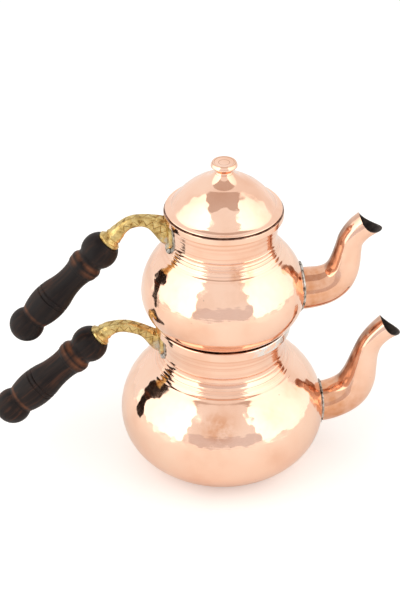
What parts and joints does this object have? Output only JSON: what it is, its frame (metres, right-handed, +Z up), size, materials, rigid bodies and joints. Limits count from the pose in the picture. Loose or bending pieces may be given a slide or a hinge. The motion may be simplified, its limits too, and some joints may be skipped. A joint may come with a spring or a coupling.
{
  "type": "double teapot",
  "caption": "Copper teapot set: a kettle, a brewing pot seated in its mouth and a domed lid, with curved spouts and drooping turned wooden handles.",
  "frame": {"origin": "middle of the kettle's flat base", "axes": "+Z up along the vessels' axis, +X towards the spouts, -X towards the handles"},
  "size_m": [0.3589, 0.18, 0.2983],
  "materials": {
    "kettle_copper": "polished hammered copper, tinned inside",
    "pot_copper": "polished hammered copper, tinned inside",
    "lid_copper": "polished copper",
    "cast_brass": "rough cast brass",
    "tin_solder": "dull tin solder",
    "copper_rivet": "copper",
    "dark_wood": "satin dark stained wood",
    "steel_stud": "plain steel"
  },
  "bodies": {
    "kettle": {"kettle_body": "kettle_copper", "kettle_spout": "kettle_copper", "kettle_spout_solder": "tin_solder", "kettle_bracket": "cast_brass", "kettle_bracket_solder": "tin_solder", "kettle_bracket_rivets": "copper_rivet", "kettle_grip": "dark_wood", "kettle_grip_stud": "steel_stud"},
    "pot": {"pot_body": "pot_copper", "pot_spout": "pot_copper", "pot_spout_solder": "tin_solder", "pot_bracket": "cast_brass", "pot_bracket_solder": "tin_solder", "pot_bracket_rivets": "copper_rivet", "pot_grip": "dark_wood", "pot_grip_stud": "steel_stud"},
    "lid": {"lid_dome": "lid_copper", "lid_collar": "lid_copper", "lid_knob": "lid_copper", "lid_knob_screw": "steel_stud", "lid_knob_washer": "steel_stud"}
  },
  "joints": [
    {"name": "pot_lift", "type": "slide", "parent": "kettle", "child": "pot", "axis": [0, 0, 1], "range_m": [0, 0.12]},
    {"name": "lid_lift", "type": "slide", "parent": "pot", "child": "lid", "axis": [0, 0, 1], "range_m": [0, 0.08]}
  ]
}
